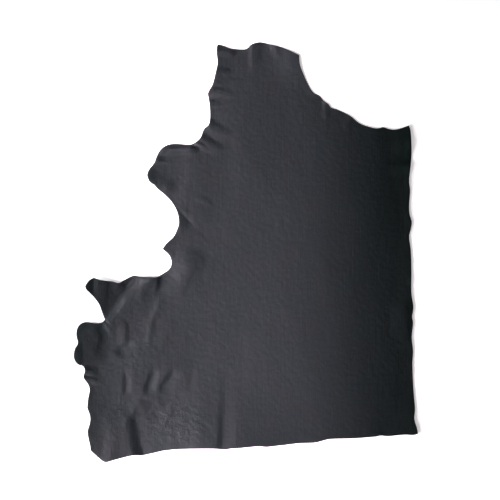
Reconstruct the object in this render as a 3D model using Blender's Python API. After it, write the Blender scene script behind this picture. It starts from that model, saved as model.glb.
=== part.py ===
"""A black leather hide in one piece, lying grain side up and nearly flat.

The neck points to +Y. The right and bottom sides are straight knife cuts, and the other
sides keep the skin's own uneven outline, with a shank flap at the left. Metres, +Z up.
The flesh side lies on z = 0, and stands off it where the hide swells, folds or curls.
"""

import math

import bmesh
import bpy
import numpy as np
from mathutils import Vector
from mathutils.geometry import delaunay_2d_cdt, interpolate_bezier
from mathutils.kdtree import KDTree

THICKNESS = 0.0015

# Mesh spacings: along the cut edge, and where the hide bends. Flat areas keep only every
# third point of the fine lattice, both ways.
EDGE_PITCH = 0.010
FINE_PITCH = 0.011
FLAT_STEP = 3
LEAST_BEND = 0.00018
CLEAR_OF_EDGE = 0.55
CURVE_STEPS = 12
SAME_POINT = 1e-6

LEATHER_COLOUR = (0.016, 0.016, 0.019, 1.0)
LEATHER_ROUGHNESS = 0.5

# The cut edge, clockwise round the hide. Each stretch is one smooth curve that runs from the
# corner where the stretch before it ends, through these points, to its own corner. (x, y)
EDGE_STRETCHES = {
    "end of the neck": (
        (-0.066, 0.634), (-0.049, 0.627), (-0.014, 0.624), (0.003, 0.626), (0.015, 0.638),
        (0.042, 0.646), (0.073, 0.639), (0.105, 0.632), (0.142, 0.617), (0.164, 0.606),
    ),
    "right side of the neck": (
        (0.166, 0.579), (0.175, 0.553), (0.189, 0.521), (0.201, 0.499), (0.210, 0.489),
        (0.227, 0.481), (0.241, 0.464), (0.254, 0.456), (0.260, 0.446), (0.284, 0.438),
        (0.320, 0.420), (0.351, 0.396), (0.385, 0.384), (0.404, 0.381), (0.422, 0.385),
    ),
    "scallop beside the cut": (
        (0.441, 0.379), (0.457, 0.377), (0.482, 0.383), (0.500, 0.390),
    ),
    "cut down the back": (
        (0.506, 0.376), (0.509, 0.324), (0.509, 0.293), (0.505, 0.253), (0.502, 0.216),
        (0.505, 0.191), (0.502, 0.142), (0.504, 0.114), (0.510, 0.094), (0.507, 0.071),
        (0.502, 0.048), (0.507, 0.007), (0.509, -0.055), (0.509, -0.126), (0.515, -0.169),
        (0.511, -0.199), (0.514, -0.216), (0.510, -0.261), (0.514, -0.304), (0.512, -0.341),
        (0.515, -0.418), (0.520, -0.482), (0.518, -0.513), (0.526, -0.541), (0.529, -0.558),
    ),
    "cut across the rump": (
        (0.515, -0.562), (0.489, -0.561), (0.435, -0.566), (0.414, -0.564), (0.400, -0.567),
        (0.326, -0.573), (0.258, -0.575), (0.240, -0.579), (0.214, -0.586), (0.166, -0.588),
        (0.120, -0.593), (0.062, -0.599), (0.041, -0.597), (-0.018, -0.602), (-0.048, -0.604),
        (-0.066, -0.607), (-0.092, -0.604), (-0.188, -0.605), (-0.249, -0.610),
        (-0.295, -0.620), (-0.320, -0.625), (-0.345, -0.624), (-0.388, -0.634),
        (-0.430, -0.646),
    ),
    "corner off": (
        (-0.442, -0.641), (-0.463, -0.623), (-0.478, -0.609),
    ),
    "hind edge, lower": (
        (-0.479, -0.597), (-0.486, -0.564), (-0.487, -0.550), (-0.480, -0.525),
        (-0.479, -0.506), (-0.488, -0.479),
    ),
    "hind edge, scallops": (
        (-0.486, -0.453), (-0.481, -0.426), (-0.484, -0.409), (-0.495, -0.393),
        (-0.500, -0.381), (-0.495, -0.368), (-0.500, -0.351), (-0.516, -0.345),
        (-0.526, -0.332), (-0.529, -0.316), (-0.524, -0.293), (-0.516, -0.281),
        (-0.521, -0.255), (-0.518, -0.233), (-0.505, -0.218), (-0.489, -0.215),
        (-0.465, -0.218), (-0.443, -0.216), (-0.434, -0.207),
    ),
    "shank flap and flank": (
        (-0.442, -0.186), (-0.451, -0.161), (-0.465, -0.140), (-0.483, -0.121),
        (-0.493, -0.108), (-0.487, -0.094), (-0.476, -0.083), (-0.466, -0.078),
        (-0.453, -0.083), (-0.425, -0.088), (-0.405, -0.090), (-0.392, -0.095),
        (-0.376, -0.086), (-0.342, -0.071), (-0.331, -0.075), (-0.295, -0.076),
        (-0.273, -0.076), (-0.254, -0.065), (-0.236, -0.052), (-0.229, -0.032),
        (-0.236, -0.009), (-0.249, 0.003), (-0.257, 0.010),
    ),
    "belly bay and fore lobe": (
        (-0.244, 0.028), (-0.224, 0.046), (-0.212, 0.069), (-0.206, 0.090), (-0.209, 0.114),
        (-0.217, 0.136), (-0.232, 0.159), (-0.251, 0.178), (-0.273, 0.196), (-0.282, 0.207),
        (-0.294, 0.214), (-0.302, 0.228), (-0.304, 0.239), (-0.297, 0.256), (-0.282, 0.275),
        (-0.273, 0.299), (-0.260, 0.318), (-0.241, 0.330), (-0.217, 0.333), (-0.181, 0.330),
        (-0.166, 0.332), (-0.142, 0.349), (-0.135, 0.364), (-0.129, 0.380), (-0.116, 0.390),
        (-0.111, 0.407), (-0.111, 0.439), (-0.115, 0.474), (-0.118, 0.487), (-0.110, 0.503),
        (-0.102, 0.518), (-0.094, 0.551), (-0.088, 0.579), (-0.089, 0.601), (-0.091, 0.616),
        (-0.090, 0.630), (-0.087, 0.640),
    ),
}

# Broad swells, where the hide stands off what it lies on.
# centre x, centre y, half length, half width, turn in degrees, height
SWELLS = (
    (-0.080, -0.640, 0.290, 0.220, 0, 0.0100),
    (-0.320, -0.350, 0.240, 0.160, 60, 0.0045),
    (-0.530, -0.290, 0.110, 0.120, 90, 0.0095),
    (-0.295, 0.250, 0.120, 0.110, 60, 0.0030),
    (-0.148, 0.262, 0.140, 0.120, 90, 0.0036),
    (-0.005, 0.370, 0.300, 0.150, 90, 0.0040),
    (-0.100, 0.560, 0.130, 0.070, 80, 0.0020),
    (0.165, 0.600, 0.110, 0.080, 60, 0.0040),
    (0.505, 0.330, 0.190, 0.070, 90, 0.0030),
    (0.520, -0.560, 0.150, 0.100, 90, 0.0040),
    (0.515, -0.100, 0.560, 0.050, 90, 0.0020),
)

# Flaps bent up along a hinge line, rising to the left of its direction.
# hinge start x, y, hinge end x, y, reach from the hinge to the tip, height of the tip
FLAPS = (
    (-0.434, -0.204, -0.342, -0.070, 0.105, 0.026),
)

# A flap's slope grows towards its tip, and its lift fades out this far past the hinge's ends,
# as a share of the hinge line.
FLAP_POWER = 1.15
FLAP_FADE = 0.2

# Soft folds along a line, and soft troughs where the height is below zero.
# start x, y, end x, y, half width on its left, on its right, height at the start, at the end
FOLDS = (
    (-0.348, -0.650, -0.368, -0.545, 0.130, 0.038, 0.0115, 0.0065),
    (-0.073, -0.650, -0.066, -0.440, 0.018, 0.040, -0.0036, -0.0008),
    (-0.485, -0.640, -0.495, -0.480, 0.060, 0.100, 0.0040, 0.0032),
    (-0.415, -0.650, -0.417, -0.610, 0.035, 0.025, 0.0020, 0.0008),
    (-0.358, -0.506, -0.322, -0.482, 0.030, 0.024, 0.0012, 0.0014),
    (-0.414, -0.218, -0.314, -0.087, 0.024, 0.070, 0.0025, 0.0028),
    (-0.322, -0.120, -0.306, -0.075, 0.016, 0.030, 0.0010, 0.0020),
    (-0.280, -0.105, -0.274, -0.060, 0.050, 0.017, 0.0010, 0.0042),
    (-0.205, -0.100, -0.185, -0.045, 0.050, 0.070, 0.0020, 0.0045),
    (-0.530, -0.345, -0.530, -0.310, 0.030, 0.035, 0.0030, 0.0030),
    (-0.373, -0.264, -0.375, -0.235, 0.028, 0.018, 0.0023, 0.0020),
    (-0.382, -0.301, -0.363, -0.292, 0.018, 0.032, -0.0028, -0.0022),
    (-0.298, -0.262, -0.294, -0.232, 0.014, 0.018, 0.0010, 0.0008),
    (-0.276, -0.188, -0.258, -0.140, 0.020, 0.050, 0.0008, 0.0008),
    (-0.371, -0.422, -0.370, -0.392, 0.014, 0.020, -0.0012, -0.0010),
    (-0.298, -0.412, -0.288, -0.384, 0.017, 0.026, -0.0022, -0.0020),
    (-0.246, -0.412, -0.228, -0.384, 0.018, 0.034, -0.0024, -0.0020),
    (-0.245, 0.317, -0.178, 0.318, 0.013, 0.020, 0.0058, 0.0055),
    (-0.300, 0.222, -0.245, 0.198, 0.040, 0.018, 0.0038, 0.0016),
    (-0.207, 0.085, -0.210, 0.118, 0.020, 0.040, 0.0026, 0.0024),
    (-0.160, 0.110, -0.195, 0.152, 0.030, 0.090, 0.0020, 0.0020),
    (-0.085, 0.622, -0.055, 0.617, 0.018, 0.022, 0.0070, 0.0050),
    (-0.096, 0.562, -0.065, 0.556, 0.014, 0.018, 0.0045, 0.0016),
    (-0.115, 0.500, -0.065, 0.491, 0.016, 0.022, 0.0034, 0.0016),
    (-0.115, 0.461, -0.095, 0.457, 0.014, 0.020, 0.0040, 0.0014),
    (-0.115, 0.392, -0.075, 0.372, 0.022, 0.034, 0.0042, 0.0018),
    (-0.140, 0.354, -0.100, 0.325, 0.022, 0.032, 0.0038, 0.0018),
    (0.512, 0.262, 0.470, 0.254, 0.030, 0.022, 0.0045, 0.0015),
    (0.512, 0.335, 0.485, 0.332, 0.040, 0.030, 0.0042, 0.0020),
    (0.487, -0.230, 0.487, -0.180, 0.050, 0.030, 0.0026, 0.0030),
)

# A fold fades out past its ends, over its narrower half width and this share of its length.
FOLD_FADE = 0.4


def smooth_curve(corners):
    """Points of a smooth curve through the given ones, from the first to the last."""
    tangents = [corners[1] - corners[0]]
    tangents += [after - before for before, after in zip(corners, corners[2:])]
    tangents += [corners[-1] - corners[-2]]
    curve = [corners[0]]
    for start, end, leave, arrive in zip(corners, corners[1:], tangents, tangents[1:]):
        reach = (end - start).length / 3
        first_handle = start + leave.normalized() * reach
        second_handle = end - arrive.normalized() * reach
        curve += interpolate_bezier(start, first_handle, second_handle, end, CURVE_STEPS)[1:]
    return curve


def respaced(curve, pitch):
    """The curve again, as evenly spaced points from after its start to its end."""
    x, y = np.array(curve).T
    run = np.concatenate([[0], np.cumsum(np.hypot(np.diff(x), np.diff(y)))])
    stops = np.linspace(0, run[-1], round(run[-1] / pitch) + 1)[1:]
    return np.column_stack([np.interp(stops, run, x), np.interp(stops, run, y)])


def cut_edge():
    """The outline, clockwise, with the origin at the middle of its box."""
    corner = Vector(list(EDGE_STRETCHES.values())[-1][-1])
    pieces = []
    for points in EDGE_STRETCHES.values():
        curve = smooth_curve([corner, *map(Vector, points)])
        pieces.append(respaced(curve, EDGE_PITCH))
        corner = curve[-1]
    edge = np.concatenate(pieces)
    return edge - (edge.min(axis=0) + edge.max(axis=0)) / 2


def bump(u):
    """A smooth hump: 1 at u = 0, and 0 from u = 1 outwards."""
    return np.clip(1 - u * u, 0, 1) ** 2


def along_line(x, y, start_x, start_y, end_x, end_y):
    """How far along a line each point lies, from 0 to 1, how far to its left, and its length."""
    run = math.hypot(end_x - start_x, end_y - start_y)
    ahead = ((end_x - start_x) / run, (end_y - start_y) / run)
    along = ((x - start_x) * ahead[0] + (y - start_y) * ahead[1]) / run
    left = (y - start_y) * ahead[0] - (x - start_x) * ahead[1]
    return along, left, run


def line_profile(x, y, line, left_width, right_width, start_value, end_value):
    """A hump along a line with soft ends. Its two sides have their own half widths, and its
    value changes from end to end."""
    along, left, run = along_line(x, y, *line)
    inside = np.clip(along, 0, 1)
    across = left / np.where(left > 0, left_width, right_width)
    beyond = (along - inside) * run / (min(left_width, right_width) + FOLD_FADE * run)
    return (start_value + (end_value - start_value) * inside) * bump(np.hypot(across, beyond))


def lift(x, y):
    """Height of the flesh side over the flat surface below it."""
    height = np.zeros_like(x)
    for centre_x, centre_y, half_length, half_width, turn, rise in SWELLS:
        cos, sin = math.cos(math.radians(turn)), math.sin(math.radians(turn))
        along = (x - centre_x) * cos + (y - centre_y) * sin
        across = (y - centre_y) * cos - (x - centre_x) * sin
        height += rise * bump(np.hypot(along / half_length, across / half_width))
    for *line, reach, rise in FLAPS:
        along, left, _ = along_line(x, y, *line)
        off_the_ends = np.clip(np.abs(along - 0.5) - 0.5, 0, None)
        outward = np.clip(left / reach, 0, None)
        height += rise * outward**FLAP_POWER * bump(off_the_ends / FLAP_FADE)
    for *line, left_width, right_width, start_rise, end_rise in FOLDS:
        height += line_profile(x, y, line, left_width, right_width, start_rise, end_rise)
    return np.clip(height, 0, None)


def bend(x, y):
    """How far the hide curves away from a straight line over one fine pitch."""
    middle = 2 * lift(x, y)
    step = FINE_PITCH
    over_x = np.abs(lift(x - step, y) + lift(x + step, y) - middle)
    over_y = np.abs(lift(x, y - step) + lift(x, y + step) - middle)
    return np.maximum(over_x, over_y)


def inner_points(edge):
    """A staggered lattice, dense where the hide bends and sparse where it is flat."""
    low, high = edge.min(axis=0), edge.max(axis=0)
    row_pitch = FINE_PITCH * math.sqrt(3) / 2
    columns, rows = np.meshgrid(
        np.arange(math.ceil((high[0] - low[0]) / FINE_PITCH)),
        np.arange(math.ceil((high[1] - low[1]) / row_pitch)),
    )
    x = (low[0] + (columns + rows % 2 / 2) * FINE_PITCH).ravel()
    y = (low[1] + rows * row_pitch).ravel()
    sparse = ((columns + rows // 2) % FLAT_STEP == 0) & (rows % FLAT_STEP == 0)
    kept = sparse.ravel() | (bend(x, y) > LEAST_BEND)
    tree = KDTree(len(edge))
    for index, point in enumerate(edge):
        tree.insert((*point, 0), index)
    tree.balance()
    clearance = CLEAR_OF_EDGE * FINE_PITCH
    return [
        (px, py)
        for px, py in zip(x[kept], y[kept])
        if tree.find((px, py, 0))[2] > clearance
    ]


def sheet_mesh():
    """The flesh side as one triangulated sheet, facing up."""
    edge = cut_edge()
    points = [Vector(point) for point in (*edge, *inner_points(edge))]
    ring = [(index, (index + 1) % len(edge)) for index in range(len(edge))]
    inside_only = 1
    flat, _, faces, *_ = delaunay_2d_cdt(points, ring, [], inside_only, SAME_POINT)
    x, y = np.array(flat).T
    z = lift(x, y)
    sheet = bmesh.new()
    corners = [sheet.verts.new(place) for place in zip(x, y, z)]
    for face in faces:
        sheet.faces.new([corners[index] for index in face])
    loose = [corner for corner in sheet.verts if not corner.link_faces]
    bmesh.ops.delete(sheet, geom=loose, context="VERTS")
    for face in sheet.faces:
        face.normal_update()
        if face.normal.z < 0:
            face.normal_flip()
        face.smooth = True
    mesh = bpy.data.meshes.new("hide")
    sheet.to_mesh(mesh)
    sheet.free()
    return mesh


def black_leather():
    """Pigmented black leather with a soft satin grain side."""
    material = bpy.data.materials.new("black leather")
    material.use_nodes = True
    shader = material.node_tree.nodes["Principled BSDF"]
    shader.inputs["Base Color"].default_value = LEATHER_COLOUR
    shader.inputs["Roughness"].default_value = LEATHER_ROUGHNESS
    shader.inputs["Metallic"].default_value = 0.0
    return material


def make_hide():
    """The whole hide: the flesh side's sheet, thickened upwards to the grain side."""
    hide = bpy.data.objects.new("hide", sheet_mesh())
    bpy.context.scene.collection.objects.link(hide)
    hide.data.materials.append(black_leather())
    thickness = hide.modifiers.new("thickness", "SOLIDIFY")
    thickness.thickness = THICKNESS
    thickness.offset = 1.0
    thickness.use_rim = True


for leftover in list(bpy.data.objects):
    bpy.data.objects.remove(leftover)
make_hide()
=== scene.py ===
"""A black leather hide lying grain side up on a white floor, seen from straight above.

The neck points to +Y. Everything is in metres. The sheet keeps the outline and the main folds
of the frame's own hide, and adds the finer creases, the rippled edge and the grain.
"""

import math

import bmesh
import bpy
import numpy as np
from mathutils import Matrix, Vector, noise
from mathutils.geometry import delaunay_2d_cdt, interpolate_bezier
from mathutils.kdtree import KDTree


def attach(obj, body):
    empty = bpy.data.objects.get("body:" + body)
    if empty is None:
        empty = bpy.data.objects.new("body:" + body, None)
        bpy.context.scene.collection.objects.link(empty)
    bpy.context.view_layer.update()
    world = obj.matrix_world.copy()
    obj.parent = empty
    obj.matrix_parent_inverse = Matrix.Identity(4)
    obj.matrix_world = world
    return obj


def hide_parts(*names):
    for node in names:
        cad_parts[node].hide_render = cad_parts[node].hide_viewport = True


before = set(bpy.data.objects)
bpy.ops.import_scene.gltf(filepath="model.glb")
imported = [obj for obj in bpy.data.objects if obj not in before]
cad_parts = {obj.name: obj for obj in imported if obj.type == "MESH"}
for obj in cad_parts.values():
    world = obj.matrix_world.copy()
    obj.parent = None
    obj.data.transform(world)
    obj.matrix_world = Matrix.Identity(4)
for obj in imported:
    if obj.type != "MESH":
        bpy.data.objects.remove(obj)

NODE = "hide"
FLAT_MAP = "flat cut"
LOOSE_LAYER = "loose grain"
GRAIN_SIDE, FLESH_SIDE, CUT_EDGE = 0, 1, 2

# The leather: its real thickness.
THICKNESS = 0.0015

# The sheet's triangles: their size where it bends and along its edge, which is doubled where its
# rise changes by less than LEAST_BEND from one of them to the next. CLEAR_OF_EDGE keeps the
# lattice off the outline, as a share of that size. Points closer than SAME_POINT are one.
FINE_CELL = 0.0040
LEAST_BEND = 0.00003
CLEAR_OF_EDGE = 0.6
SAME_POINT = 1e-6

# The outline is that of the frame's faces that point down by at least this much. Each of its
# steps gets OUTLINE_STEPS points of a curve, except beside a corner that turns more than this.
FACING = 0.65
OUTLINE_STEPS = 2
SHARP_CORNER = math.radians(38)

# The cut edge is worn round by this much.
EDGE_ROUND = 0.00035
EDGE_STEPS = 2

# Broad swells, where the hide stands off the floor.
# centre x, centre y, half length, half width, turn in degrees, height
SWELLS = (
    (-0.080, -0.640, 0.290, 0.220, 0, 0.0100),
    (-0.320, -0.350, 0.240, 0.160, 60, 0.0045),
    (-0.530, -0.290, 0.110, 0.120, 90, 0.0095),
    (-0.295, 0.250, 0.120, 0.110, 60, 0.0030),
    (-0.148, 0.262, 0.140, 0.120, 90, 0.0036),
    (-0.005, 0.370, 0.300, 0.150, 90, 0.0040),
    (-0.100, 0.560, 0.130, 0.070, 80, 0.0020),
    (0.165, 0.600, 0.110, 0.080, 60, 0.0040),
    (0.505, 0.330, 0.190, 0.070, 90, 0.0030),
    (0.520, -0.560, 0.150, 0.100, 90, 0.0040),
    (0.515, -0.100, 0.560, 0.050, 90, 0.0020),
)

# Flaps bent up along a hinge line, rising to the left of its direction.
# hinge start x, y, hinge end x, y, reach from the hinge to the tip, height of the tip
FLAPS = (
    (-0.434, -0.204, -0.342, -0.070, 0.105, 0.026),
)

# A flap's slope grows towards its tip, and its lift fades out this far past the hinge's ends,
# as a share of the hinge line.
FLAP_POWER = 1.15
FLAP_FADE = 0.2

# Soft folds along a line, and soft troughs where the height is below zero.
# start x, y, end x, y, half width on its left, on its right, height at the start, at the end
FOLDS = (
    (-0.348, -0.650, -0.368, -0.545, 0.130, 0.038, 0.0115, 0.0065),
    (-0.073, -0.650, -0.066, -0.440, 0.018, 0.040, -0.0036, -0.0008),
    (-0.485, -0.640, -0.495, -0.480, 0.060, 0.100, 0.0040, 0.0032),
    (-0.415, -0.650, -0.417, -0.610, 0.035, 0.025, 0.0020, 0.0008),
    (-0.358, -0.506, -0.322, -0.482, 0.030, 0.024, 0.0012, 0.0014),
    (-0.414, -0.218, -0.314, -0.087, 0.024, 0.070, 0.0025, 0.0028),
    (-0.322, -0.120, -0.306, -0.075, 0.016, 0.030, 0.0010, 0.0020),
    (-0.280, -0.105, -0.274, -0.060, 0.050, 0.017, 0.0010, 0.0042),
    (-0.205, -0.100, -0.185, -0.045, 0.050, 0.070, 0.0020, 0.0045),
    (-0.530, -0.345, -0.530, -0.310, 0.030, 0.035, 0.0030, 0.0030),
    (-0.373, -0.264, -0.375, -0.235, 0.028, 0.018, 0.0023, 0.0020),
    (-0.382, -0.301, -0.363, -0.292, 0.018, 0.032, -0.0028, -0.0022),
    (-0.298, -0.262, -0.294, -0.232, 0.014, 0.018, 0.0010, 0.0008),
    (-0.276, -0.188, -0.258, -0.140, 0.020, 0.050, 0.0008, 0.0008),
    (-0.371, -0.422, -0.370, -0.392, 0.014, 0.020, -0.0012, -0.0010),
    (-0.298, -0.412, -0.288, -0.384, 0.017, 0.026, -0.0022, -0.0020),
    (-0.246, -0.412, -0.228, -0.384, 0.018, 0.034, -0.0024, -0.0020),
    (-0.245, 0.317, -0.178, 0.318, 0.013, 0.020, 0.0058, 0.0055),
    (-0.300, 0.222, -0.245, 0.198, 0.040, 0.018, 0.0038, 0.0016),
    (-0.207, 0.085, -0.210, 0.118, 0.020, 0.040, 0.0026, 0.0024),
    (-0.160, 0.110, -0.195, 0.152, 0.030, 0.090, 0.0020, 0.0020),
    (-0.085, 0.622, -0.055, 0.617, 0.018, 0.022, 0.0070, 0.0050),
    (-0.096, 0.562, -0.065, 0.556, 0.014, 0.018, 0.0045, 0.0016),
    (-0.115, 0.500, -0.065, 0.491, 0.016, 0.022, 0.0034, 0.0016),
    (-0.115, 0.461, -0.095, 0.457, 0.014, 0.020, 0.0040, 0.0014),
    (-0.115, 0.392, -0.075, 0.372, 0.022, 0.034, 0.0042, 0.0018),
    (-0.140, 0.354, -0.100, 0.325, 0.022, 0.032, 0.0038, 0.0018),
    (0.512, 0.262, 0.470, 0.254, 0.030, 0.022, 0.0045, 0.0015),
    (0.512, 0.335, 0.485, 0.332, 0.040, 0.030, 0.0042, 0.0020),
    (0.487, -0.230, 0.487, -0.180, 0.050, 0.030, 0.0026, 0.0030),
)

# A fold fades out past its ends, over its narrower half width and this share of its length.
FOLD_FADE = 0.4

# Finer wrinkles, too small for the frame.
# start x, y, end x, y, half width on its left, on its right, height at the start, at the end
WRINKLES = (
    (-0.469, -0.115, -0.469, -0.084, 0.014, 0.016, -0.0016, -0.0020),
    (-0.412, -0.230, -0.434, -0.209, 0.006, 0.008, -0.0004, -0.0016),
    (-0.452, -0.266, -0.468, -0.236, 0.030, 0.012, 0.0009, 0.0010),
    (-0.412, -0.246, -0.426, -0.224, 0.014, 0.030, 0.0006, 0.0009),
    (-0.500, -0.366, -0.474, -0.369, 0.020, 0.012, 0.0045, 0.0015),
    (-0.500, -0.387, -0.470, -0.392, 0.010, 0.014, 0.0045, 0.0012),
    (-0.270, 0.282, -0.240, 0.279, 0.014, 0.012, 0.0016, 0.0006),
    (-0.182, 0.102, -0.210, 0.132, 0.007, 0.009, -0.0008, -0.0011),
    (-0.155, 0.338, -0.140, 0.328, 0.012, 0.012, 0.0020, 0.0010),
    (-0.090, 0.541, -0.078, 0.540, 0.008, 0.010, 0.0014, 0.0006),
    (-0.092, 0.521, -0.080, 0.520, 0.007, 0.009, 0.0011, 0.0006),
    (0.018, 0.590, 0.017, 0.640, 0.012, 0.036, 0.0016, 0.0030),
    (0.096, 0.612, 0.088, 0.632, 0.018, 0.020, 0.0012, 0.0022),
    (0.223, 0.486, 0.226, 0.502, 0.012, 0.012, 0.0006, 0.0012),
    (0.240, 0.426, 0.242, 0.462, 0.010, 0.022, 0.0013, 0.0020),
    (0.313, 0.396, 0.322, 0.418, 0.016, 0.016, 0.0012, 0.0022),
    (-0.166, -0.412, -0.164, -0.384, 0.012, 0.020, -0.0004, -0.0004),
    (-0.280, -0.478, -0.273, -0.458, 0.012, 0.018, 0.0004, 0.0007),
    (-0.246, -0.524, -0.232, -0.502, 0.010, 0.018, 0.0005, 0.0007),
    (-0.298, -0.524, -0.292, -0.506, 0.010, 0.016, 0.0005, 0.0006),
    (-0.162, -0.094, -0.132, -0.033, 0.012, 0.040, 0.0006, 0.0005),
    (0.100, 0.078, 0.101, 0.092, 0.008, 0.018, 0.0003, 0.0004),
    (0.178, 0.044, 0.186, 0.060, 0.009, 0.016, 0.0004, 0.0003),
    (0.160, -0.008, 0.161, 0.006, 0.007, 0.016, 0.0003, 0.0004),
    (0.476, -0.284, 0.496, -0.276, 0.014, 0.020, 0.0005, 0.0010),
    (-0.406, -0.199, -0.320, -0.092, 0.014, 0.040, 0.0016, 0.0020),
    (-0.440, -0.153, -0.437, -0.092, 0.028, 0.020, 0.0008, 0.0016),
    (-0.394, -0.095, -0.385, -0.116, 0.020, 0.026, 0.0022, 0.0014),
    (-0.323, -0.147, -0.308, -0.089, 0.022, 0.030, 0.0004, 0.0008),
    (-0.262, -0.116, -0.255, -0.076, 0.020, 0.060, -0.0010, -0.0020),
    (-0.280, -0.104, -0.276, -0.080, 0.034, 0.014, 0.0014, 0.0020),
    (-0.422, -0.310, -0.375, -0.289, 0.014, 0.020, -0.0006, -0.0009),
    (-0.465, -0.286, -0.458, -0.242, 0.040, 0.024, 0.0018, 0.0024),
    (-0.498, -0.276, -0.498, -0.239, 0.016, 0.030, 0.0008, 0.0010),
    (-0.477, -0.375, -0.477, -0.367, 0.016, 0.030, 0.0014, 0.0014),
    (-0.458, -0.399, -0.465, -0.393, 0.018, 0.030, 0.0010, 0.0012),
    (-0.492, -0.359, -0.492, -0.353, 0.010, 0.020, 0.0012, 0.0012),
    (-0.298, -0.255, -0.295, -0.239, 0.020, 0.016, 0.0005, 0.0005),
    (-0.289, -0.196, -0.271, -0.147, 0.014, 0.020, 0.0003, 0.0003),
    (-0.300, -0.415, -0.289, -0.378, 0.014, 0.026, -0.0008, -0.0008),
    (-0.369, -0.418, -0.366, -0.387, 0.012, 0.020, -0.0007, -0.0007),
    (-0.172, -0.406, -0.169, -0.375, 0.010, 0.020, -0.0004, -0.0004),
    (-0.342, -0.487, -0.328, -0.473, 0.022, 0.036, 0.0016, 0.0010),
    (-0.388, -0.479, -0.351, -0.455, 0.008, 0.012, -0.0010, -0.0008),
    (-0.289, -0.501, -0.258, -0.482, 0.008, 0.014, -0.0014, -0.0010),
    (-0.252, -0.529, -0.237, -0.495, 0.020, 0.012, 0.0008, 0.0008),
    (-0.440, -0.602, -0.443, -0.535, 0.026, 0.030, -0.0010, -0.0010),
    (-0.338, -0.510, -0.334, -0.494, 0.018, 0.026, -0.0012, -0.0015),
    (-0.182, -0.119, -0.132, -0.033, 0.012, 0.030, -0.0008, -0.0008),
    (-0.089, 0.551, -0.074, 0.554, 0.010, 0.012, 0.0016, 0.0008),
    (-0.145, 0.330, -0.129, 0.318, 0.012, 0.016, 0.0012, 0.0006),
    (-0.280, 0.281, -0.265, 0.281, 0.012, 0.010, 0.0014, 0.0008),
    (-0.166, 0.308, -0.169, 0.314, 0.040, 0.016, 0.0010, 0.0012),
    (-0.225, 0.296, -0.228, 0.308, 0.030, 0.016, 0.0005, 0.0007),
    (-0.145, 0.164, -0.120, 0.154, 0.014, 0.012, 0.0010, 0.0010),
    (0.508, 0.293, 0.468, 0.284, 0.024, 0.030, -0.0035, -0.0016),
    (-0.252, -0.406, -0.234, -0.376, 0.012, 0.020, -0.0009, -0.0009),
    (-0.246, 0.190, -0.238, 0.206, 0.014, 0.024, 0.0013, 0.0013),
    (-0.415, -0.650, -0.420, -0.560, 0.050, 0.050, 0.0020, 0.0010),
    (-0.300, -0.218, -0.270, -0.172, 0.014, 0.022, 0.0007, 0.0007),
    (-0.262, -0.258, -0.232, -0.222, 0.018, 0.030, 0.0006, 0.0008),
    (-0.300, -0.318, -0.262, -0.282, 0.018, 0.030, 0.0006, 0.0008),
    (-0.345, -0.345, -0.318, -0.312, 0.016, 0.026, 0.0006, 0.0006),
    (-0.135, -0.600, -0.130, -0.470, 0.070, 0.200, 0.0028, 0.0014),
)

# No fold runs quite straight: this is how far each strays, and over what distance.
STRAY = 0.004
STRAY_LENGTH = 0.055

# The skin's own edge ripples and curls a little. The ripple's length along the edge, how far it
# reaches in from the edge, its height, and how far its humps spread into the hollows between
# them, which lie flat: 0 is halfway and 1 all the way.
RIPPLE_LENGTH = 0.034
RIPPLE_REACH = 0.022
RIPPLE_HEIGHT = 0.0016
RIPPLE_SPREAD = 0.25

# Low waves all over, from the hide having been hung, rolled and laid out again: size and height.
WAVES = ((0.110, 0.0011), (0.038, 0.00035))

# Where the grain is loose and breaks into small wrinkles, as on a belly and a flank.
# centre x, centre y, half length, half width, turn in degrees, strength
LOOSE_GRAIN = (
    (-0.210, -0.530, 0.150, 0.110, 8, 1.0),
    (-0.400, -0.520, 0.120, 0.080, 70, 0.45),
    (-0.330, -0.330, 0.150, 0.110, 60, 0.30),
    (-0.250, 0.220, 0.110, 0.090, 60, 0.25),
    (0.010, 0.520, 0.130, 0.120, 0, 0.20),
)

# Pebbles in the grain: their size and depth, how much of each is its sloping side, and over
# what distance they stray from their rows.
PEBBLE = 0.0024
PEBBLE_DEPTH = 0.00016
PEBBLE_SIDE = 0.35
PEBBLE_BEND = 2 * PEBBLE

# Pores, drawn coarser than real ones so that they show.
PORE = 0.0008
PORE_DEPTH = 0.000015

# Small wrinkles in loose grain: their size and depth, how twisted they are, and the size of the
# clusters that they come in.
BREAK = 0.0042
BREAK_DEPTH = 0.0032
BREAK_TWIST = 0.8
CLUSTER = 0.026

# Shallow hollows of many sizes up to this one, where the skin was stretched to dry.
PULL = 0.014
PULL_DEPTH = 0.0013

# Growth streaks, which run from neck to tail.
STREAK_WIDTH = 0.006
STREAK_LENGTH = 0.160
STREAK_DEPTH = 0.0004

# Patches of uneven dye.
MOTTLE = 0.090

# The short nap of the flesh side, and the patches in which it lies brushed.
NAP = 0.0012
NAP_DEPTH = 0.0002
BRUSHED = 0.070

# Fibres in the cut edge.
FIBRE = 0.0004
FIBRE_DEPTH = 0.0001

# The part of a noise's range that is spread out to the whole of what it steers.
SPREAD_NOISE = {"From Min": 0.35, "From Max": 0.65}
SPREAD_STREAKS = {"From Min": 0.3, "From Max": 0.7}

# Colours and the finish's roughness, each between its two ends.
DYE = ("09191b", "0f181a")
SUEDE = ("2a292b", "3a383b")
FIBRES = ("1a191a", "302e2f")
SATIN = {"To Min": 0.56, "To Max": 0.62}
PAPER = "f4f4f4"

# The floor lies just under the flesh side.
FLOOR_DROP = 0.0003
FLOOR_SIDE = 30.0
FLOOR_GLOW = 0.56
FLOOR_GLOW_COLOUR = "f9f4f5"

# The camera looks straight down at the middle of the picture, which is this wide on the floor.
PICTURE_WIDTH = 1.5385
PICTURE_MIDDLE = (0.0123, 0.0068)
LENS = 150.0
SENSOR = 36.0

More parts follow.
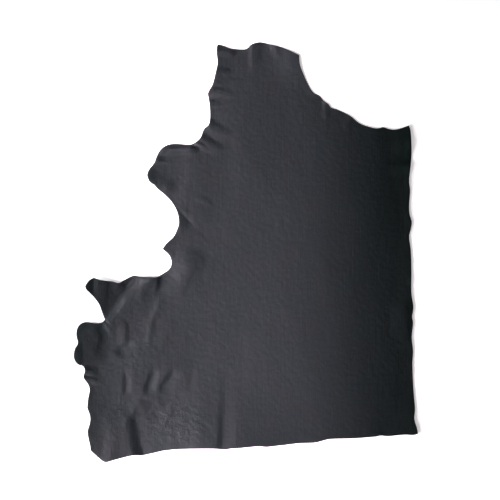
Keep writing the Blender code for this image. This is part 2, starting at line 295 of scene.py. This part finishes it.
# The windows, all at the left. The first is a narrow beam that leaves the right side dim.
# name, place, the point that it faces, width, length, spread in degrees, watts, colour
LIGHTS = (
    ("window", (-3.6, -1.2, 3.5), (-0.08, -0.19, 0.0), 2.8, 0.5, 4.5, 7.9, "fde9fa"),
    ("corner window", (-2.3, -2.0, 2.1), (-0.20, -0.62, 0.0), 0.9, 0.9, 22, 1.8, "fde9fa"),
    ("low window", (-4.0, -0.8, 1.3), (0.0, 0.0, 0.0), 1.2, 0.8, 60, 13, "d2f4ee"),
)
ROOM_LIGHT = 0.03
ROOM_COLOUR = "ccf4ee"

# An even light over the floor alone, which the hide shades: where it comes from, how wide it
# looks from the floor in degrees, and its strength.
FLOOR_LIGHT_FROM = (-0.86, -0.46, 0.52)
FLOOR_LIGHT_WIDTH = 26
FLOOR_LIGHT = 2.9


def bump(u):
    """A smooth hump: 1 at u = 0, and 0 from u = 1 outwards."""
    return np.clip(1 - u * u, 0, 1) ** 2


def patch(x, y, centre_x, centre_y, half_length, half_width, turn):
    """A smooth hump over a turned oval."""
    cos, sin = math.cos(math.radians(turn)), math.sin(math.radians(turn))
    along = (x - centre_x) * cos + (y - centre_y) * sin
    across = (y - centre_y) * cos - (x - centre_x) * sin
    return bump(np.hypot(along / half_length, across / half_width))


def along_line(x, y, start_x, start_y, end_x, end_y):
    """How far along a line each point lies, from 0 to 1, how far to its left, and its length."""
    run = math.hypot(end_x - start_x, end_y - start_y)
    ahead = ((end_x - start_x) / run, (end_y - start_y) / run)
    along = ((x - start_x) * ahead[0] + (y - start_y) * ahead[1]) / run
    left = (y - start_y) * ahead[0] - (x - start_x) * ahead[1]
    return along, left, run


def line_profile(x, y, line, left_width, right_width, start_value, end_value):
    """A hump along a line with soft ends. Its two sides have their own half widths, and its
    value changes from end to end."""
    along, left, run = along_line(x, y, *line)
    inside = np.clip(along, 0, 1)
    across = left / np.where(left > 0, left_width, right_width)
    beyond = (along - inside) * run / (min(left_width, right_width) + FOLD_FADE * run)
    return (start_value + (end_value - start_value) * inside) * bump(np.hypot(across, beyond))


def soft_lines(x, y, table):
    """Height of all the folds in a table, which is below zero in a trough."""
    height = np.zeros_like(x)
    for *line, left_width, right_width, start_rise, end_rise in table:
        height += line_profile(x, y, line, left_width, right_width, start_rise, end_rise)
    return height


def main_folds(x, y):
    """Height of the flesh side over the floor in the frame's own folds."""
    height = soft_lines(x, y, FOLDS)
    for *oval, rise in SWELLS:
        height += rise * patch(x, y, *oval)
    for *line, reach, rise in FLAPS:
        along, left, _ = along_line(x, y, *line)
        off_the_ends = np.clip(np.abs(along - 0.5) - 0.5, 0, None)
        outward = np.clip(left / reach, 0, None)
        height += rise * outward**FLAP_POWER * bump(off_the_ends / FLAP_FADE)
    return height


def waviness(x, y, size):
    """Smooth unevenness between about -1 and 1, whose humps are about this size."""
    places = np.column_stack([x, y, np.full_like(x, size)]) / size
    return np.array([noise.noise(place) for place in places])


def fine_folds(x, y, from_edge):
    """What the finer wrinkles, the low waves and the rippled edge add to the main folds."""
    height = soft_lines(x, y, WRINKLES)
    for size, rise in WAVES:
        height += rise * (1 + waviness(x, y, size))
    ripple = np.clip(waviness(x, y, RIPPLE_LENGTH) + RIPPLE_SPREAD, 0, None)
    return height + RIPPLE_HEIGHT * ripple * bump(from_edge / RIPPLE_REACH)


def frame_outline():
    """The cut edge of the frame's hide: its points in order, clockwise or not, laid flat."""
    copy = bmesh.new()
    copy.from_mesh(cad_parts[NODE].data)
    bmesh.ops.remove_doubles(copy, verts=copy.verts, dist=THICKNESS / 100)
    copy.normal_update()
    others = [face for face in copy.faces if face.normal.z > -FACING]
    bmesh.ops.delete(copy, geom=others, context="FACES")
    first = edge = next(edge for edge in copy.edges if edge.is_boundary)
    corner = edge.verts[1]
    outline = []
    while not outline or edge is not first:
        outline.append(corner.co.to_2d())
        edge = next(e for e in corner.link_edges if e.is_boundary and e is not edge)
        corner = edge.other_vert(corner)
    copy.free()
    return outline


def rounded(outline):
    """The outline with a curve between its points, but straight beside a sharp corner."""
    smooth = []
    count = len(outline)
    for index, start in enumerate(outline):
        before, end, after = (outline[(index + step) % count] for step in (-1, 1, 2))
        straight = end - start
        turns = (straight.angle(start - before), straight.angle(after - end))
        leave = end - before if turns[0] < SHARP_CORNER else straight
        arrive = after - start if turns[1] < SHARP_CORNER else straight
        reach = straight.length / 3
        first_handle = start + leave.normalized() * reach
        second_handle = end - arrive.normalized() * reach
        curve = interpolate_bezier(start, first_handle, second_handle, end, OUTLINE_STEPS + 1)
        smooth += curve[:-1]
    return smooth


def distance_from(outline, x, y):
    """How far each place lies from the cut edge."""
    tree = KDTree(len(outline))
    for index, point in enumerate(outline):
        tree.insert((*point, 0), index)
    tree.balance()
    return np.array([tree.find((*place, 0))[2] for place in zip(x, y)])


def unevenness(x, y):
    """How much the rise of the folds and wrinkles changes from one fine cell to the next."""

    def height(x, y):
        return main_folds(x, y) + soft_lines(x, y, WRINKLES)

    middle = 2 * height(x, y)
    over_x = np.abs(height(x - FINE_CELL, y) + height(x + FINE_CELL, y) - middle)
    over_y = np.abs(height(x, y - FINE_CELL) + height(x, y + FINE_CELL) - middle)
    return np.maximum(over_x, over_y)


def inner_points(outline):
    """A staggered lattice inside the cut edge, fine where the hide bends and along its edge, and
    with a quarter of the points where it is flat."""
    low, high = np.min(outline, axis=0), np.max(outline, axis=0)
    row_pitch = FINE_CELL * math.sqrt(3) / 2
    columns, rows = np.meshgrid(
        np.arange(math.ceil((high[0] - low[0]) / FINE_CELL)),
        np.arange(math.ceil((high[1] - low[1]) / row_pitch)),
    )
    x = (low[0] + (columns + rows % 2 / 2) * FINE_CELL).ravel()
    y = (low[1] + rows * row_pitch).ravel()
    sparse = ((columns + rows // 2) % 2 == 0) & (rows % 2 == 0)
    off_edge = distance_from(outline, x, y)
    kept = sparse.ravel() | (unevenness(x, y) > LEAST_BEND) | (off_edge < RIPPLE_REACH)
    kept &= off_edge > CLEAR_OF_EDGE * FINE_CELL
    return list(zip(x[kept], y[kept]))


def flat_sheet(outline):
    """The hide as it is cut out flat: the outline, filled with small triangles that face up."""
    points = [*outline, *map(Vector, inner_points(outline))]
    ring = [(index, (index + 1) % len(outline)) for index in range(len(outline))]
    inside_only = 1
    places, _, faces, *_ = delaunay_2d_cdt(points, ring, [], inside_only, SAME_POINT)
    sheet = bmesh.new()
    corners = [sheet.verts.new((*place, 0)) for place in places]
    for face in faces:
        sheet.faces.new([corners[index] for index in face])
    loose = [corner for corner in sheet.verts if not corner.link_faces]
    bmesh.ops.delete(sheet, geom=loose, context="VERTS")
    sheet.normal_update()
    bmesh.ops.reverse_faces(sheet, faces=[face for face in sheet.faces if face.normal.z < 0])
    return sheet


def fold(sheet, outline):
    """Lifts each point of the flat sheet to the grain side's height over the floor."""
    x, y = np.array([corner.co.xy for corner in sheet.verts]).T
    from_edge = distance_from(outline, x, y)
    x, y = (x + STRAY * waviness(x, y, STRAY_LENGTH), y + STRAY * waviness(y, x, STRAY_LENGTH))
    height = main_folds(x, y) + fine_folds(x, y, from_edge)
    for corner, lift in zip(sheet.verts, np.clip(height, 0, None)):
        corner.co.z = lift + THICKNESS


def mark_loose_grain(sheet):
    """Gives each point the strength of the loose grain there, for the grain's material."""
    x, y = np.array([corner.co.xy for corner in sheet.verts]).T
    strength = np.zeros_like(x)
    for *oval, most in LOOSE_GRAIN:
        strength = np.maximum(strength, most * patch(x, y, *oval))
    layer = sheet.verts.layers.float.new(LOOSE_LAYER)
    for corner, value in zip(sheet.verts, strength):
        corner[layer] = value


def thicken(sheet):
    """Adds the flesh side and the cut edge below the grain side, and wears the edge round."""
    grain = set(sheet.faces)
    made = bmesh.ops.solidify(sheet, geom=[*sheet.faces], thickness=THICKNESS)
    flesh = {part for part in made["geom"] if isinstance(part, bmesh.types.BMFace)}
    for face in sheet.faces:
        side = FLESH_SIDE if face in flesh else GRAIN_SIDE if face in grain else CUT_EDGE
        face.material_index = side
        face.smooth = True
    arris = [
        edge
        for edge in sheet.edges
        if {face.material_index for face in edge.link_faces} == {GRAIN_SIDE, CUT_EDGE}
    ]
    bmesh.ops.bevel(
        sheet, geom=arris, offset=EDGE_ROUND, segments=EDGE_STEPS, profile=0.5, affect="EDGES",
        material=-1, offset_type="OFFSET",
    )


def map_flat(sheet):
    """The flat cut's own map, in metres, which the grain follows over every fold."""
    layer = sheet.loops.layers.uv.new(FLAT_MAP)
    for face in sheet.faces:
        for loop in face.loops:
            loop[layer].uv = loop.vert.co.xy


def make_leather():
    """The hide: cut out flat, folded, then given its thickness."""
    outline = rounded(frame_outline())
    sheet = flat_sheet(outline)
    fold(sheet, outline)
    mark_loose_grain(sheet)
    thicken(sheet)
    map_flat(sheet)
    mesh = bpy.data.meshes.new("leather")
    sheet.to_mesh(mesh)
    sheet.free()
    leather = bpy.data.objects.new("leather", mesh)
    bpy.context.scene.collection.objects.link(leather)
    for material in (grain_side(), flesh_side(), cut_edge()):
        mesh.materials.append(material)
    return leather


def linear(colour):
    """An sRGB hex colour, such as "1a2b3c", as linear red, green, blue and alpha."""
    parts = [int(colour[place : place + 2], 16) / 255 for place in (0, 2, 4)]
    return (*(p / 12.92 if p <= 0.04045 else ((p + 0.055) / 1.055) ** 2.4 for p in parts), 1.0)


def new_material(name):
    """A material with its Principled shader."""
    material = bpy.data.materials.new(name)
    material.use_nodes = True
    return material, material.node_tree.nodes["Principled BSDF"]


def add(material, kind, inputs, **settings):
    """Adds one node with its settings. Each input is a value or another node's output."""
    node = material.node_tree.nodes.new("ShaderNode" + kind)
    for name, value in settings.items():
        setattr(node, name, value)
    feed(material, node, inputs)
    return node


def feed(material, node, inputs):
    """Sets or links a node's inputs."""
    for socket, value in inputs.items():
        if isinstance(value, bpy.types.NodeSocket):
            material.node_tree.links.new(value, node.inputs[socket])
        else:
            node.inputs[socket].default_value = value


def grain_side():
    """Full-grain cow leather, drum dyed black, pigmented and given a thin satin finish: a soft
    pebbled surface, near black, whose broad sheen shows each fold."""
    material, shader = new_material("black pigmented grain leather")
    flat = add(material, "UVMap", {}, uv_map=FLAT_MAP).outputs["UV"]
    loose = add(material, "Attribute", {}, attribute_name=LOOSE_LAYER).outputs["Fac"]

    # Pebbles with fine furrows between them, drawn a little larger than the real 1 to 2 mm.
    stray = add(material, "TexNoise", {"Vector": flat, "Scale": 1 / PEBBLE_BEND, "Detail": 2.0})
    bent = add(
        material,
        "VectorMath",
        {0: stray.outputs["Color"], 1: (PEBBLE,) * 3, 2: flat},
        operation="MULTIPLY_ADD",
    )
    pebbles = add(
        material,
        "TexVoronoi",
        {"Vector": bent.outputs[0], "Scale": 1 / PEBBLE},
        feature="DISTANCE_TO_EDGE",
    )
    pebble = add(
        material,
        "MapRange",
        {"Value": pebbles.outputs["Distance"], "From Max": PEBBLE_SIDE},
        interpolation_type="SMOOTHSTEP",
    )
    pores = add(material, "TexNoise", {"Vector": flat, "Scale": 1 / PORE, "Detail": 2.0})
    pull = add(material, "TexNoise", {"Vector": flat, "Scale": 1 / PULL, "Detail": 5.0})

    # Small wrinkles where the grain is loose.
    breaks = add(
        material,
        "TexNoise",
        {"Vector": flat, "Scale": 1 / BREAK, "Detail": 2.0, "Distortion": BREAK_TWIST},
    )
    cluster = add(material, "TexNoise", {"Vector": flat, "Scale": 1 / CLUSTER, "Detail": 2.0})
    looser = add(
        material,
        "MapRange",
        {"Value": cluster.outputs["Fac"], "To Max": loose, **SPREAD_NOISE},
    )
    broken = add(
        material,
        "Math",
        {0: breaks.outputs["Fac"], 1: looser.outputs[0]},
        operation="MULTIPLY",
    )

    # Faint growth streaks that run from neck to tail.
    drawn = add(
        material, "Mapping", {"Vector": flat, "Scale": (1 / STREAK_WIDTH, 1 / STREAK_LENGTH, 1.0)}
    )
    streaks = add(material, "TexNoise", {"Vector": drawn.outputs[0], "Scale": 1.0, "Detail": 3.0})

    # Uneven dye and finish.
    mottle = add(material, "TexNoise", {"Vector": flat, "Scale": 1 / MOTTLE, "Detail": 4.0})
    patches = add(material, "MapRange", {"Value": mottle.outputs["Fac"], **SPREAD_NOISE})
    dye = add(
        material,
        "Mix",
        {"Factor": patches.outputs[0], "A": linear(DYE[0]), "B": linear(DYE[1])},
        data_type="RGBA",
    )
    finish = add(
        material,
        "MapRange",
        {"Value": streaks.outputs["Fac"], **SPREAD_STREAKS, **SATIN},
    )

    normal = None
    for height, depth in (
        (streaks.outputs["Fac"], STREAK_DEPTH),
        (pull.outputs["Fac"], PULL_DEPTH),
        (broken.outputs[0], BREAK_DEPTH),
        (pebble.outputs[0], PEBBLE_DEPTH),
        (pores.outputs["Fac"], PORE_DEPTH),
    ):
        inputs = {"Height": height, "Distance": depth, "Strength": 1.0}
        if normal:
            inputs["Normal"] = normal
        normal = add(material, "Bump", inputs).outputs["Normal"]
    feed(
        material,
        shader,
        {
            "Base Color": dye.outputs["Result"],
            "Roughness": finish.outputs[0],
            "Normal": normal,
            "IOR": 1.5,
            "Coat Weight": 0.15,
            "Coat Roughness": 0.4,
            "Sheen Weight": 0.06,
            "Sheen Roughness": 0.5,
        },
    )
    return material


def flesh_side():
    """The split flesh side, dyed through and lightly buffed: a dull, short suede nap."""
    material, shader = new_material("dyed suede flesh side")
    place = add(material, "TexCoord", {}).outputs["Object"]
    nap = add(material, "TexNoise", {"Vector": place, "Scale": 1 / NAP, "Detail": 3.0})
    brushed = add(material, "TexNoise", {"Vector": place, "Scale": 1 / BRUSHED, "Detail": 3.0})
    shade = add(
        material,
        "Mix",
        {"Factor": brushed.outputs["Fac"], "A": linear(SUEDE[0]), "B": linear(SUEDE[1])},
        data_type="RGBA",
    )
    height = nap.outputs["Fac"]
    fuzz = add(material, "Bump", {"Height": height, "Distance": NAP_DEPTH, "Strength": 1.0})
    feed(
        material,
        shader,
        {
            "Base Color": shade.outputs["Result"],
            "Roughness": 0.95,
            "Normal": fuzz.outputs["Normal"],
            "Sheen Weight": 0.25,
            "Sheen Roughness": 0.6,
        },
    )
    return material


def cut_edge():
    """The knife cut: packed fibres, dyed through, a little lighter and duller than the grain."""
    material, shader = new_material("cut leather edge")
    place = add(material, "TexCoord", {}).outputs["Object"]
    fibres = add(material, "TexNoise", {"Vector": place, "Scale": 1 / FIBRE, "Detail": 3.0})
    shade = add(
        material,
        "Mix",
        {"Factor": fibres.outputs["Fac"], "A": linear(FIBRES[0]), "B": linear(FIBRES[1])},
        data_type="RGBA",
    )
    height = fibres.outputs["Fac"]
    rough = add(material, "Bump", {"Height": height, "Distance": FIBRE_DEPTH, "Strength": 1.0})
    feed(
        material,
        shader,
        {
            "Base Color": shade.outputs["Result"],
            "Roughness": 0.85,
            "Normal": rough.outputs["Normal"],
        },
    )
    return material


def make_floor():
    """A plain white floor that glows a little, so that it stays white beside the dark leather."""
    grid = bmesh.new()
    bmesh.ops.create_grid(grid, x_segments=1, y_segments=1, size=FLOOR_SIDE / 2)
    bmesh.ops.translate(grid, vec=(0, 0, -FLOOR_DROP), verts=grid.verts)
    mesh = bpy.data.meshes.new("floor")
    grid.to_mesh(mesh)
    grid.free()
    floor = bpy.data.objects.new("floor", mesh)
    bpy.context.scene.collection.objects.link(floor)
    material, shader = new_material("white paper floor")
    feed(
        material,
        shader,
        {
            "Base Color": linear(PAPER),
            "Roughness": 0.9,
            "Specular IOR Level": 0.0,
            "Emission Color": linear(FLOOR_GLOW_COLOUR),
            "Emission Strength": FLOOR_GLOW,
        },
    )
    mesh.materials.append(material)
    return floor


def add_lights():
    """The windows, and a dim, even room."""
    for name, place, aim, width, length, spread, power, colour in LIGHTS:
        lamp = bpy.data.lights.new(name, "AREA")
        lamp.shape = "RECTANGLE"
        lamp.size, lamp.size_y = width, length
        lamp.spread = math.radians(spread)
        lamp.energy = power
        lamp.color = linear(colour)[:3]
        light = bpy.data.objects.new(name, lamp)
        light.location = place
        back = (Vector(place) - Vector(aim)).normalized()
        across = back.cross(Vector((0, 1, 0))).normalized()
        light.rotation_euler = Matrix((across.cross(back), across, back)).transposed().to_euler()
        light.visible_camera = False
        bpy.context.scene.collection.objects.link(light)
    world = bpy.data.worlds.new("room")
    world.use_nodes = True
    sky = world.node_tree.nodes["Background"]
    sky.inputs["Color"].default_value = linear(ROOM_COLOUR)
    sky.inputs["Strength"].default_value = ROOM_LIGHT
    bpy.context.scene.world = world


def light_the_floor(floor):
    """An even light from the left that reaches the floor alone, so that the hide's raised edges
    shade it."""
    sun = bpy.data.lights.new("floor light", "SUN")
    sun.angle = math.radians(FLOOR_LIGHT_WIDTH)
    sun.energy = FLOOR_LIGHT
    light = bpy.data.objects.new("floor light", sun)
    light.rotation_euler = Vector(FLOOR_LIGHT_FROM).to_track_quat("Z", "Y").to_euler()
    lit = bpy.data.collections.new("lit by the floor light")
    lit.objects.link(floor)
    light.light_linking.receiver_collection = lit
    bpy.context.scene.collection.objects.link(light)


def add_camera():
    """Straight above the middle of the picture, far enough off for the lens to frame it."""
    lens = bpy.data.cameras.new("camera")
    lens.lens = LENS
    lens.sensor_width = SENSOR
    camera = bpy.data.objects.new("camera", lens)
    camera.location = (*PICTURE_MIDDLE, PICTURE_WIDTH * LENS / SENSOR)
    bpy.context.scene.collection.objects.link(camera)
    bpy.context.scene.camera = camera


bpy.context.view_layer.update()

leather = make_leather()
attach(leather, "root")
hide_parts(NODE)

floor = make_floor()
add_lights()
light_the_floor(floor)
add_camera()
bpy.context.scene.view_settings.view_transform = "Standard"
